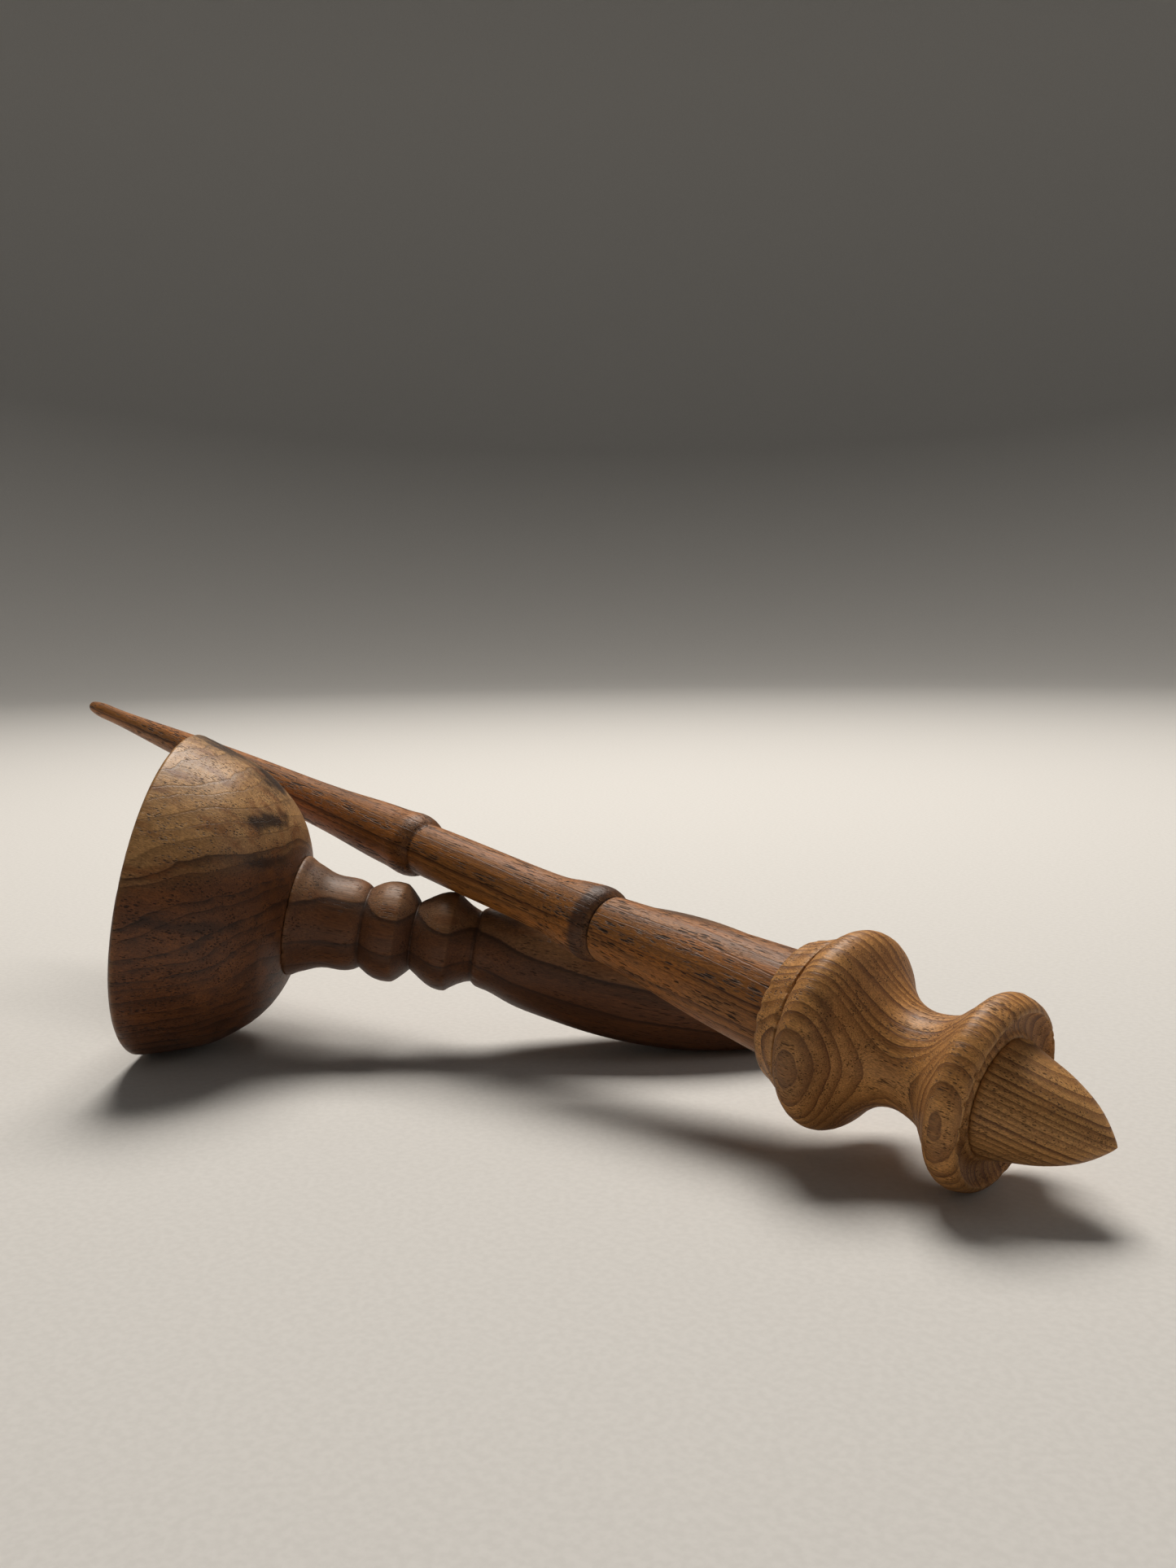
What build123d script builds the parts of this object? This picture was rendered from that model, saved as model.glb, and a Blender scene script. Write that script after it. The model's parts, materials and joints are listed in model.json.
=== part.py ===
from build123d import *
import math
import os

# Supported spindle leaning on the stem of its own handled spinning bowl.
# Millimetres, +Z up, floor at z = 0, the spindle points its nose along +X.
# Each turned piece is drawn as (distance along its own axis, radius) pairs.

# ---- spindle: distances run from the nose point to the far tip ----
SPINDLE_LENGTH = 290.0
NOSE_SEAT = 18.6          # where the nose shoulder sits against the whorl
NOSE_RADIUS = 9.8
FLANGE_RADIUS = 15.95     # flange nearest the nose
FLANGE_AT = 21.4
NECK_RADIUS = 8.4        # bottom of the cove between the flanges
NECK_AT = 34.0
SHOULDER_RADIUS = 17.1    # flange nearest the shaft
SHOULDER_AT = 46.75
COLLAR_END = 57.0
COLLAR_RADIUS = 11.5
SHAFT_RADIUS = 9.7        # shaft where it leaves the collar
LOWER_RING_AT = 100.4     # step between the lower and middle shaft
LOWER_RING_RADIUS = 6.3
UPPER_RING_AT = 152.6     # step between the middle and upper shaft
UPPER_RING_RADIUS = 5.4
TIP_RADIUS = 1.45
SHAFT_TENON_RADIUS = 4.0
SHAFT_TENON_END = 27.0
NOSE_TENON_RADIUS = 3.5
NOSE_TENON_END = 26.0

# ---- bowl: distances run from the rim to the butt of the handle ----
RIM_RADIUS = 33.5
CUP_DEPTH = 27.4          # rim to the shoulder of the stem
CUP_INSIDE_DEPTH = 19.6
WALL = 3.5
STEM_SHOULDER_RADIUS = 12.7
STEM_RADIUS = 9.55
BEAD_RADIUS = 10.25
GRIP_RADIUS = 13.95
GRIP_AT = 101.2
BOWL_LENGTH = 134.0
HANDLE_TENON_RADIUS = 5.2
HANDLE_TENON_LENGTH = 5.7

# ---- how the two lie together ----
CROSSING_ANGLE = 39.7     # plan angle between spindle and handle
CROSSING_ON_SPINDLE = 139.6
CROSSING_ON_BOWL = 63.6
REST_GAP = 0.25           # air left between spindle and bowl


def turned(runs):
    """Revolve runs of (along, radius) points about X; runs meet at corners."""
    edges = []
    for run in runs:
        edges.append(Line(run[0], run[1]) if len(run) == 2 else Spline(*run))
    return revolve(make_face(edges), axis=Axis.X).solid()


def outer_radius(runs, steps=24):
    """Sample the runs of an outline as a list of (along, radius) pairs."""
    points = []
    for run in runs:
        edge = Line(run[0], run[1]) if len(run) == 2 else Spline(*run)
        for i in range(steps + 1):
            p = edge @ (i / steps)
            points.append((p.X, p.Y))
    return points


def nose_runs():
    """Outline of the pointed nose, point to shoulder."""
    r = NOSE_RADIUS
    s = NOSE_SEAT
    return [
        [(0.0, 0.0), (0.02 * s, 0.06 * r)],
        [(0.02 * s, 0.06 * r), (0.108 * s, 0.24 * r), (0.215 * s, 0.416 * r), (0.323 * s, 0.549 * r),
         (0.43 * s, 0.652 * r), (0.54 * s, 0.741 * r), (0.65 * s, 0.811 * r), (0.75 * s, 0.867 * r),
         (0.86 * s, 0.934 * r), (0.94 * s, 0.99 * r)],
        [(0.94 * s, 0.99 * r), (0.975 * s, r), (s, 0.985 * r)],
    ]


def whorl_runs():
    """Outline of the whorl, nose side to the arris of the collar."""
    f = FLANGE_RADIUS
    h = SHOULDER_RADIUS
    n = NECK_RADIUS
    fa = FLANGE_AT
    na = NECK_AT
    ha = SHOULDER_AT
    lip = fa - 3.9
    return [
        [(NOSE_SEAT, NOSE_RADIUS + 0.15), (NOSE_SEAT + 0.75, NOSE_RADIUS + 1.1), (NOSE_SEAT + 0.35, f - 3.0),
         (lip, f - 1.9)],
        [(lip, f - 1.9), (lip + 0.35, f - 1.15), (fa - 2.1, f - 0.3), (fa, f), (fa + 1.6, f - 0.75),
         (fa + 2.7, f - 2.1), (fa + 4.6, f - 4.15), (fa + 6.6, n + 1.5), (fa + 9.0, n + 0.5), (na, n),
         (na + 2.2, n + 0.4), (na + 4.0, n + 1.2), (na + 6.0, n + 2.75), (na + 8.0, n + 4.85), (ha - 2.5, h - 1.15),
         (ha, h), (ha + 1.9, h - 0.3), (ha + 3.5, h - 1.4), (ha + 4.6, h - 2.75)],
        [(ha + 4.6, h - 2.75), (ha + 6.3, COLLAR_RADIUS + 2.1), (COLLAR_END - 2.0, COLLAR_RADIUS + 1.1),
         (COLLAR_END - 0.7, COLLAR_RADIUS + 0.45), (COLLAR_END, COLLAR_RADIUS)],
    ]


def shaft_runs():
    """Outline of the shaft, collar to the rounded far tip."""
    a = LOWER_RING_AT
    ar = LOWER_RING_RADIUS
    b = UPPER_RING_AT
    br = UPPER_RING_RADIUS
    c = COLLAR_END
    cr = SHAFT_RADIUS
    e = SPINDLE_LENGTH
    t = TIP_RADIUS
    return [
        [(c, cr), (c + 0.22 * (a - c), cr - 0.18 * (cr - ar)), (c + 0.45 * (a - c), cr - 0.39 * (cr - ar)),
         (c + 0.72 * (a - c), cr - 0.73 * (cr - ar)), (a - 0.6, ar + 0.05)],
        [(a - 0.6, ar + 0.05), (a - 0.15, ar - 0.12), (a, ar - 0.5)],
        [(a, ar - 0.5), (a + 0.35, ar + 0.12), (a + 1.6, ar + 0.88), (a + 3.2, ar + 1.08), (a + 5.6, ar + 0.87),
         (a + 9.0, ar + 0.4), (a + 12.5, ar - 0.2), (a + 17.0, ar - 0.52), (a + 26.0, ar - 0.66),
         (0.5 * (a + 26.0 + b), 0.5 * (ar - 0.66 + br) + 0.05), (b - 0.5, br)],
        [(b - 0.5, br), (b, br - 0.15), (b + 0.9, br + 0.4), (b + 2.4, br + 1.1), (b + 4.2, br + 1.35),
         (b + 7.0, br + 1.12), (b + 12.0, br + 0.85), (b + 18.0, br + 0.55), (b + 26.0, br), (b + 36.0, br - 0.5),
         (b + 56.0, br - 0.95), (0.5 * (b + 56.0 + e), 0.5 * (br - 0.95 + t) + 0.2), (e - 22.0, t + 0.85),
         (e - 10.0, t + 0.5), (e - 3.5, t + 0.3), (e - 1.4, t)],
        [(e - 1.4, t), (e - 0.45, 0.72 * t), (e, 0.0)],
    ]


def cup_outer_runs():
    """Outside of the cup, rim to the shoulder of the stem."""
    r = RIM_RADIUS
    d = CUP_DEPTH
    k = STEM_SHOULDER_RADIUS
    w = r - k
    return [
        [(0.9, r - 0.15), (0.2 * d, r - 0.072 * w), (0.36 * d, r - 0.144 * w), (0.53 * d, r - 0.233 * w),
         (0.68 * d, r - 0.368 * w), (0.79 * d, r - 0.493 * w), (0.85 * d, r - 0.584 * w), (0.91 * d, r - 0.702 * w),
         (0.962 * d, r - 0.856 * w), (d, k)],
    ]


def cup_inner_runs():
    """Inside of the cup, bottom of the bowl out to the rim."""
    r = RIM_RADIUS - WALL
    d = CUP_INSIDE_DEPTH
    return [
        [(d, 0.0), (0.985 * d, 0.2 * r), (0.965 * d, 0.38 * r), (0.91 * d, 0.57 * r), (0.8 * d, 0.735 * r),
         (0.63 * d, 0.84 * r), (0.42 * d, 0.92 * r), (0.2 * d, 0.972 * r), (0.9, r + 0.15)],
    ]


def handle_runs():
    """Outline of stem beads and grip, shoulder to butt."""
    d = CUP_DEPTH
    s = STEM_RADIUS
    b = BEAD_RADIUS
    g = GRIP_RADIUS
    ga = GRIP_AT
    e = BOWL_LENGTH
    return [
        [(d, STEM_SHOULDER_RADIUS - 0.35), (d + 0.35, STEM_SHOULDER_RADIUS - 0.3), (d + 1.45, s + 2.3),
         (d + 3.6, s + 1.3), (d + 5.45, s + 0.5), (d + 7.85, s), (d + 10.55, s), (d + 12.8, s - 0.4),
         (d + 14.45, s - 1.35)],
        [(d + 14.45, s - 1.35), (d + 15.5, b - 1.35), (d + 16.95, b - 0.55), (d + 18.8, b - 0.05), (d + 20.45, b),
         (d + 21.6, b - 0.2)],
        [(d + 21.6, b - 0.2), (d + 23.35, b - 1.8), (d + 24.7, b - 3.35)],
        [(d + 24.7, b - 3.35), (d + 26.0, b - 2.5), (d + 27.6, b - 1.45), (d + 29.35, b - 0.55), (d + 31.0, b - 0.15),
         (d + 32.45, b - 0.2)],
        [(d + 32.45, b - 0.2), (d + 34.3, b - 1.6), (d + 36.15, b - 2.6), (d + 37.5, b - 3.05)],
        [(d + 37.5, b - 3.05), (d + 38.2, b - 2.4), (d + 40.3, b - 1.8), (d + 45.4, b - 0.1), (d + 52.7, g - 2.15),
         (d + 62.0, g - 0.7), (ga, g), (ga + 9.3, g - 0.5), (ga + 16.6, g - 1.7), (ga + 22.8, g - 3.15),
         (e - 5.0, g - 4.95), (e - 1.6, g - 8.4), (e, 0.0)],
    ]


def make_nose():
    """Pointed nose with its tenon."""
    t = NOSE_TENON_RADIUS
    back = [
        [(NOSE_SEAT, 0.985 * NOSE_RADIUS), (NOSE_SEAT, t)],
        [(NOSE_SEAT, t), (NOSE_TENON_END, t)],
        [(NOSE_TENON_END, t), (NOSE_TENON_END, 0.0)],
        [(NOSE_TENON_END, 0.0), (0.0, 0.0)],
    ]
    return turned(nose_runs() + back)


def make_whorl():
    """Double-flanged whorl bored for the nose and shaft tenons."""
    back = [
        [(COLLAR_END, COLLAR_RADIUS), (COLLAR_END, SHAFT_TENON_RADIUS)],
        [(COLLAR_END, SHAFT_TENON_RADIUS), (SHAFT_TENON_END, SHAFT_TENON_RADIUS)],
        [(SHAFT_TENON_END, SHAFT_TENON_RADIUS), (SHAFT_TENON_END, NOSE_TENON_RADIUS)],
        [(SHAFT_TENON_END, NOSE_TENON_RADIUS), (NOSE_SEAT, NOSE_TENON_RADIUS)],
        [(NOSE_SEAT, NOSE_TENON_RADIUS), (NOSE_SEAT, NOSE_RADIUS + 0.15)],
    ]
    return turned(whorl_runs() + back)


def make_shaft():
    """Tapering shaft with two ring steps and a tenon into the whorl."""
    t = SHAFT_TENON_RADIUS
    back = [
        [(SPINDLE_LENGTH, 0.0), (SHAFT_TENON_END, 0.0)],
        [(SHAFT_TENON_END, 0.0), (SHAFT_TENON_END, t)],
        [(SHAFT_TENON_END, t), (COLLAR_END, t)],
        [(COLLAR_END, t), (COLLAR_END, SHAFT_RADIUS)],
    ]
    return turned(shaft_runs() + back)


def make_cup():
    """Round-bottomed cup with a rounded lip and a socket for the handle."""
    r = RIM_RADIUS
    q = RIM_RADIUS - WALL
    socket = CUP_DEPTH - HANDLE_TENON_LENGTH
    lip = [[(0.9, q + 0.15), (0.0, 0.5 * (q + r)), (0.9, r - 0.15)]]
    back = [
        [(CUP_DEPTH, STEM_SHOULDER_RADIUS), (CUP_DEPTH, HANDLE_TENON_RADIUS)],
        [(CUP_DEPTH, HANDLE_TENON_RADIUS), (socket, HANDLE_TENON_RADIUS)],
        [(socket, HANDLE_TENON_RADIUS), (socket, 0.0)],
        [(socket, 0.0), (CUP_INSIDE_DEPTH, 0.0)],
    ]
    return turned(cup_inner_runs() + lip + cup_outer_runs() + back)


def make_handle():
    """Beaded stem and swelling grip with a tenon into the cup."""
    t = HANDLE_TENON_RADIUS
    top = CUP_DEPTH - HANDLE_TENON_LENGTH
    back = [
        [(BOWL_LENGTH, 0.0), (top, 0.0)],
        [(top, 0.0), (top, t)],
        [(top, t), (CUP_DEPTH, t)],
        [(CUP_DEPTH, t), (CUP_DEPTH, STEM_SHOULDER_RADIUS - 0.35)],
    ]
    return turned(handle_runs() + back)


def bowl_tilt():
    """Downward slope of the bowl axis when rim and grip both touch the floor."""
    grip = [p for p in outer_radius(handle_runs()) if p[0] > 0.6 * BOWL_LENGTH]
    rim = outer_radius(cup_outer_runs())[0]
    return max(math.atan2(r - rim[1], s - rim[0]) for s, r in grip)


def bowl_place():
    """Placement of the bowl: axis from rim to butt, crossing point over the origin."""
    slope = bowl_tilt()
    turn = math.radians(CROSSING_ANGLE)
    back = -CROSSING_ON_BOWL * math.cos(slope)
    outline = outer_radius(cup_outer_runs()) + outer_radius(handle_runs())
    lowest = min(s * math.sin(slope) - r * math.cos(slope) for s, r in outline)
    return Location((back * math.cos(turn), back * math.sin(turn), -lowest),
                    (0.0, -math.degrees(slope), CROSSING_ANGLE), Extrinsic.XYZ)


def spindle_place(rise):
    """Placement of the spindle at a rise angle: nose along +X, whorl on the floor."""
    a = math.radians(rise)
    outline = outer_radius(nose_runs()) + outer_radius(whorl_runs())
    lowest = min(s * math.sin(a) - r * math.cos(a) for s, r in outline)
    return Location((CROSSING_ON_SPINDLE * math.cos(a), 0.0, -lowest), (0.0, -rise, 180.0), Extrinsic.XYZ)


def settle(spindle, bowl):
    """Lower the leaning spindle until only REST_GAP is left above the bowl."""
    low = 2.0
    high = 25.0
    for _ in range(14):
        mid = 0.5 * (low + high)
        gap = min(s.moved(spindle_place(mid)).distance_to(b) for s in spindle for b in bowl)
        if gap > REST_GAP:
            high = mid
        else:
            low = mid
    return high


def main():
    """Build, place and write the five pieces."""
    bowl_at = bowl_place()
    cup = make_cup().moved(bowl_at)
    handle = make_handle().moved(bowl_at)
    shaft = make_shaft()
    rise = settle([shaft], [handle, cup])
    spindle_at = spindle_place(rise)
    parts = {
        "cup": cup,
        "handle": handle,
        "shaft": shaft.moved(spindle_at),
        "whorl": make_whorl().moved(spindle_at),
        "nose": make_nose().moved(spindle_at),
    }
    boxes = [solid.bounding_box() for solid in parts.values()]
    low = [min(tuple(b.min)[i] for b in boxes) for i in range(3)]
    high = [max(tuple(b.max)[i] for b in boxes) for i in range(3)]
    shift = Location((-0.5 * (low[0] + high[0]), -0.5 * (low[1] + high[1]), -low[2]))
    os.makedirs("parts", exist_ok=True)
    for name, solid in parts.items():
        export_step(solid.moved(shift), "parts/" + name + ".step")
    print("rise", rise, "tilt", math.degrees(bowl_tilt()))
    print("box", low, high)
    for name, place in (("spindle", shift * spindle_at), ("bowl", shift * bowl_at)):
        origin = place.position
        along = (place * Location((1, 0, 0))).position - origin
        print(name, "origin", tuple(origin), "axis", tuple(along))


main()
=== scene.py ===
"""A turned supported spindle leaning on the stem of its own handled spinning bowl."""

import json
import logging
import math
from dataclasses import dataclass
from enum import Enum

import bpy
import numpy as np
from mathutils import Matrix, Vector


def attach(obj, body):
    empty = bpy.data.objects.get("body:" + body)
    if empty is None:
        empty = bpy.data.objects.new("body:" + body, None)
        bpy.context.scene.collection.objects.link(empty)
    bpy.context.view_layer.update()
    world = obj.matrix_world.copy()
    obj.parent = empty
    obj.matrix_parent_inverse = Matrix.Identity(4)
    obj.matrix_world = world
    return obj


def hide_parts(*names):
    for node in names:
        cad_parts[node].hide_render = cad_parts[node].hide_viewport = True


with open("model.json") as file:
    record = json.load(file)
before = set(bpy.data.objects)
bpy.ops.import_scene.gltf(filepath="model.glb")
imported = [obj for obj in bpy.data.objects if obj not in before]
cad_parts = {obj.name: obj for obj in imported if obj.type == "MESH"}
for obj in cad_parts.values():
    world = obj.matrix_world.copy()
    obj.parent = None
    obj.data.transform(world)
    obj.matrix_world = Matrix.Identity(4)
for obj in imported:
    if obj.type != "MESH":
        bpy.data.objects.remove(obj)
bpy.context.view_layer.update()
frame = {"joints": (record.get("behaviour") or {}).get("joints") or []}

log = logging.getLogger("spindle_and_bowl")

MM = 0.001
Colour = tuple[float, float, float]
Run = list[tuple[float, float]]
Grain = tuple[object, object]
Socket = bpy.types.NodeSocket
Outputs = bpy.types.bpy_prop_collection

# Names of the mesh attributes that the materials read.
GRAIN = "grain_mm"
MASKS = ("arris", "crevice", "end_grain")

# The bowl lies still, so its own axis is written here; the spindle's comes from its joint.
BOWL_ORIGIN = (-0.042847, -0.031402, 0.032982)
BOWL_AXIS = (0.757204, 0.628643, -0.177342)

CAMERA_PLACE = (0.23029, -0.19571, 0.09154)
CAMERA_TURN = (83.046, 0.960, 42.990)
CAMERA_LENS = 34.58
CAMERA_SENSOR = 36.0

# How an outline is cut into rings, in millimetres and radians.
DENSE = 0.05
TURN_PER_RING = 0.09
MOST_RINGS = 9.0
BEND_WINDOW = 17
ARRIS_BEND = 1.6
CREVICE_BEND = 1.1

# The smaller pores against the larger: length, width and size, then how dark they are.
SMALL_PORES = (0.45, 0.46, 0.85)
SMALL_PORE_SHARE = 0.55
PORE_DEPTH = 0.12 * MM

# What the shader of every piece shares.
OILED = {"IOR": 1.5, "Specular IOR Level": 0.28, "Coat Roughness": 0.3}


# ---------------------------------------------------------------- outlines


def spline_through(points: Run, spacing: float) -> np.ndarray:
    """Sample a smooth curve through the points of one run.

    Args:
        points: (along, radius) pairs in millimetres; two points make a straight line.
        spacing: distance between samples in millimetres.

    Returns:
        An array of samples, one (along, radius) row each, both ends included.
    """
    knots = np.array(points, float)
    if len(knots) == 2:
        count = max(2, int(math.dist(knots[0], knots[1]) / spacing) + 2)
        return knots[0] + np.linspace(0.0, 1.0, count)[:, None] * (knots[1] - knots[0])
    steps = np.linalg.norm(np.diff(knots, axis=0), axis=1)
    at = np.concatenate([[0.0], np.cumsum(steps)])
    size = len(knots)
    system = np.zeros((size, size))
    right = np.zeros((size, 2))
    system[0, 0] = system[-1, -1] = 1.0
    right[0] = end_slope(knots[:3], at[:3])
    right[-1] = -end_slope(knots[::-1][:3], at[-1] - at[::-1][:3])
    for i in range(1, size - 1):
        before, after = steps[i - 1], steps[i]
        system[i, i - 1 : i + 2] = after, 2.0 * (before + after), before
        back, on = knots[i] - knots[i - 1], knots[i + 1] - knots[i]
        right[i] = 3.0 * (after / before * back + before / after * on)
    slopes = np.linalg.solve(system, right)
    where = np.linspace(0.0, at[-1], max(3, int(at[-1] / spacing) + 2))
    span = np.clip(np.searchsorted(at, where, side="right") - 1, 0, size - 2)
    gap = steps[span][:, None]
    t = (where - at[span])[:, None] / gap
    return (
        (2 * t**3 - 3 * t**2 + 1) * knots[span]
        + (t**3 - 2 * t**2 + t) * gap * slopes[span]
        + (3 * t**2 - 2 * t**3) * knots[span + 1]
        + (t**3 - t**2) * gap * slopes[span + 1]
    )


def end_slope(knots: np.ndarray, at: np.ndarray) -> np.ndarray:
    """Slope at the first of three knots, from the parabola through them.

    Args:
        knots: three points.
        at: the distance along the curve of each.

    Returns:
        The slope as a pair.
    """
    first = (knots[1] - knots[0]) / (at[1] - at[0])
    second = (knots[2] - knots[1]) / (at[2] - at[1])
    return first - (second - first) * (at[1] - at[0]) / (at[2] - at[0])


@dataclass
class Section:
    """A finished half section: where each ring of the mesh sits, and what the surface does there."""

    points: np.ndarray
    normals: np.ndarray
    arris: np.ndarray
    crevice: np.ndarray
    closed: bool


def soften(points: np.ndarray, width: float, closed: bool) -> np.ndarray:
    """Round the corners of a densely sampled outline.

    Args:
        points: samples a twentieth of a millimetre apart.
        width: how far the rounding reaches, in millimetres.
        closed: whether the outline runs round to its first point.

    Returns:
        The softened samples, the ends of an open outline kept.
    """
    reach = max(1, int(3 * width / DENSE))
    kernel = np.exp(-0.5 * (np.arange(-reach, reach + 1) * DENSE / width) ** 2)
    kernel /= kernel.sum()
    if closed:
        padded = np.concatenate([points[-reach:], points, points[:reach]])
    else:
        head = 2 * points[0] - points[reach:0:-1]
        tail = 2 * points[-1] - points[-2 : -reach - 2 : -1]
        padded = np.concatenate([head, points, tail])
    soft = np.stack([np.convolve(padded[:, i], kernel, "valid") for i in (0, 1)], axis=1)
    soft[:, 1] = np.maximum(soft[:, 1], 0.0)
    return soft


def respace(points: np.ndarray, weight: np.ndarray, count: int) -> np.ndarray:
    """Choose places along an outline so that the weight between them is even.

    Args:
        points: dense samples.
        weight: how closely each sample wants its neighbours.
        count: how many places to return.

    Returns:
        Sample indices as floats.
    """
    total = np.concatenate([[0.0], np.cumsum(0.5 * (weight[1:] + weight[:-1]))])
    return np.interp(np.linspace(0.0, total[-1], count), total, np.arange(len(points)))


def section(runs: list[Run], closed: bool, round_over: float = 0.14, coarse: float = 0.55) -> Section:
    """Turn runs into a half section with softened corners and closer rings where it bends.

    Args:
        runs: runs that meet end to end, travelling so that the wood is on the right.
        closed: whether the last run ends where the first starts.
        round_over: how far the corners are rounded, in millimetres.
        coarse: widest spacing of the rings, in millimetres.

    Returns:
        The section in millimetres.
    """
    smooth_runs = [spline_through(run, DENSE)[:-1] for run in runs]
    joined = np.concatenate([*smooth_runs, np.array(runs[-1][-1:], float)])
    length = np.concatenate([[0.0], np.cumsum(np.linalg.norm(np.diff(joined, axis=0), axis=1))])
    even = np.linspace(0.0, length[-1], int(length[-1] / DENSE) + 1)
    dense = np.stack([np.interp(even, length, joined[:, i]) for i in (0, 1)], axis=1)
    if closed:
        dense = dense[:-1]
    dense = soften(dense, round_over, closed)
    if closed:
        ahead, behind = np.roll(dense, -2, axis=0), np.roll(dense, 2, axis=0)
    else:
        pad = np.concatenate([dense[:1], dense[:1], dense, dense[-1:], dense[-1:]])
        ahead, behind = pad[4:], pad[:-4]
    along = ahead - behind
    along /= np.maximum(np.linalg.norm(along, axis=1), 1e-9)[:, None]
    angle = np.unwrap(np.arctan2(along[:, 1], along[:, 0]))
    bend = np.gradient(angle) / DENSE
    window = np.ones(BEND_WINDOW) / BEND_WINDOW
    smooth = np.convolve(np.pad(bend, BEND_WINDOW // 2, mode="edge"), window, "valid")
    weight = np.clip(np.abs(smooth) / TURN_PER_RING, 1.0 / coarse, MOST_RINGS)
    places = respace(dense, weight, max(24, int(np.sum(weight) * DENSE) + 1))
    if closed:
        places = places[:-1]
    index = np.arange(len(dense))

    def pick(values: np.ndarray) -> np.ndarray:
        """Read values at the chosen places."""
        return np.interp(places, index, values)

    points = np.stack([pick(dense[:, 0]), pick(dense[:, 1])], axis=1)
    if not closed:
        points[0, 1] = points[-1, 1] = 0.0
    tilt = np.stack([pick(-along[:, 1]), pick(along[:, 0])], axis=1)
    tilt /= np.maximum(np.linalg.norm(tilt, axis=1), 1e-9)[:, None]
    turn = pick(smooth)
    arris = np.clip(-turn / ARRIS_BEND, 0, 1)
    crevice = np.clip(turn / CREVICE_BEND, 0, 1)
    return Section(points, tilt, arris, crevice, closed)


def straights(corners: Run) -> list[Run]:
    """Straight runs from corner to corner."""
    return [list(pair) for pair in zip(corners, corners[1:])]


# ---------------------------------------------------------------- hand work on the surface


@dataclass
class Ripple:
    """Smooth seeded unevenness over a turned surface, made of waves that close round the piece."""

    seed: int
    waves: int
    round_most: int
    along_most: float

    def over(self, along: np.ndarray, angle: np.ndarray) -> np.ndarray:
        """Height of the ripple, about -1 to 1.

        Args:
            along: distances along the axis in millimetres.
            angle: angles round the axis in radians.

        Returns:
            The height at each place.
        """
        draw = np.random.RandomState(self.seed)
        total = np.zeros(np.broadcast(along, angle).shape)
        for _ in range(self.waves):
            turns = draw.randint(0, self.round_most + 1)
            rate = draw.uniform(-self.along_most, self.along_most)
            phase = draw.uniform(0.0, 2.0 * math.pi)
            total += np.sin(turns * angle + rate * along + phase)
        return total / math.sqrt(self.waves)


@dataclass
class HandWork:
    """What the lathe, the hand and years of use did to one piece, in millimetres."""

    seed: int
    out_of_round: float = 0.05
    tool_marks: float = 0.012
    mark_pitch: float = 1.1
    chips: float = 0.28
    chip_cut: float = 0.95
    chip_edge: float = 0.8
    nibble: float = 0.05
    true_near_axis: float = 2.5

    def height(self, sec: Section, angle: np.ndarray) -> np.ndarray:
        """How far each vertex moves out of the true surface.

        Args:
            sec: the half section.
            angle: the angles of the rings' vertices.

        Returns:
            One row per ring, one column per angle.
        """
        along = sec.points[:, :1]
        radius = sec.points[:, 1:]
        near_axis = np.clip(radius / self.true_near_axis, 0.0, 1.0)
        low = Ripple(self.seed, waves=7, round_most=3, along_most=0.05).over(along, angle)
        sway = 1.3 * Ripple(self.seed + 1, waves=6, round_most=2, along_most=0.25).over(along, angle)
        marks = np.sin(2 * math.pi * along / self.mark_pitch + sway)
        coarse = Ripple(self.seed + 2, waves=14, round_most=26, along_most=0.5).over(along, angle)
        fine = Ripple(self.seed + 3, waves=22, round_most=80, along_most=1.6).over(along, angle)
        bite = np.clip((coarse + 0.45 * fine - self.chip_cut) / self.chip_edge, 0.0, 1.0)
        lost = (self.chips * bite + self.nibble * np.abs(fine)) * sec.arris[:, None]
        body = (self.out_of_round * low + self.tool_marks * marks) * (1.0 - 0.8 * sec.crevice[:, None])
        return near_axis * (body - lost)


def outward_frame(origin: Vector, axis: Vector) -> Matrix:
    """Place for a turned piece: X along its axis, Z as near to up as it can be.

    Args:
        origin: where the piece's own zero is.
        axis: the direction of its axis.

    Returns:
        The placement.
    """
    x = axis.normalized()
    up = Vector((0.0, 0.0, 1.0))
    z = (up - x * up.dot(x)).normalized()
    y = z.cross(x)
    place = Matrix((x, y, z)).transposed().to_4x4()
    place.translation = origin
    return place


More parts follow.
